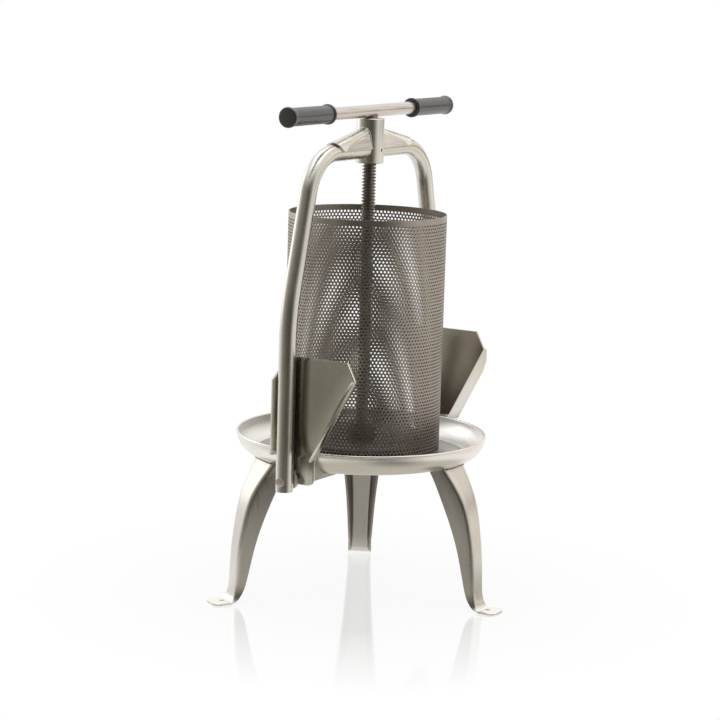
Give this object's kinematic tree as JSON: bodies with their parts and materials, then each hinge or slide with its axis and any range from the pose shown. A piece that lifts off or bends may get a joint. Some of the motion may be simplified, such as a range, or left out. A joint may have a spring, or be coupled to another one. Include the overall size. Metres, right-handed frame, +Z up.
{
  "type": "fruit press",
  "caption": "Table-top screw press: perforated basket in a round tray on curved legs, under a bent-tube yoke whose T-handled screw drives a press plate down onto the fruit.",
  "frame": {"origin": "on the floor, at the centre of the circle through the foot holes, on the axis of the screw", "axes": "+Z up along the screw, X along the yoke from its left leg to its right leg, -Y towards the single front leg"},
  "size_m": [0.5086, 0.462, 0.7836],
  "materials": {
    "sheet_steel": "satin stainless sheet",
    "tube_steel": "satin stainless tube",
    "bright_steel": "bright turned steel",
    "basket_steel": "satin perforated stainless sheet",
    "plate_steel": "satin stainless plate",
    "dark_steel": "dark oiled thread",
    "grip_plastic": "black ribbed grip"
  },
  "bodies": {
    "frame": {"tray": "sheet_steel", "leg_front": "sheet_steel", "leg_left": "sheet_steel", "leg_right": "sheet_steel", "strap": "sheet_steel", "bracket_left": "sheet_steel", "bracket_right": "sheet_steel", "pivot_screws": "bright_steel", "pivot_spacers": "bright_steel", "yoke_left": "tube_steel", "yoke_right": "tube_steel", "hub": "tube_steel", "gusset_left": "tube_steel", "gusset_right": "tube_steel"},
    "plate": {"press_plate": "plate_steel", "plate_collar": "plate_steel"},
    "screw": {"screw": "dark_steel", "handle_tube": "tube_steel", "grip_left": "grip_plastic", "grip_right": "grip_plastic"},
    "basket": {"basket": "basket_steel"}
  },
  "joints": [
    {"name": "plate_lift", "type": "slide", "parent": "frame", "child": "plate", "axis": [0, 0, 1], "range_m": [0, 0.372]},
    {"name": "screw_turn", "type": "hinge", "parent": "plate", "child": "screw", "pos_m": [0, 0, 0.768], "axis": [0, 0, 1], "range_deg": [0, 26784]},
    {"name": "basket_lift", "type": "slide", "parent": "frame", "child": "basket", "axis": [0, 0, 1], "range_m": [0, 0.075]}
  ],
  "couplings": [
    {"joint": "plate_lift", "follows": "screw_turn", "m_per_rad": 0.00079577}
  ]
}
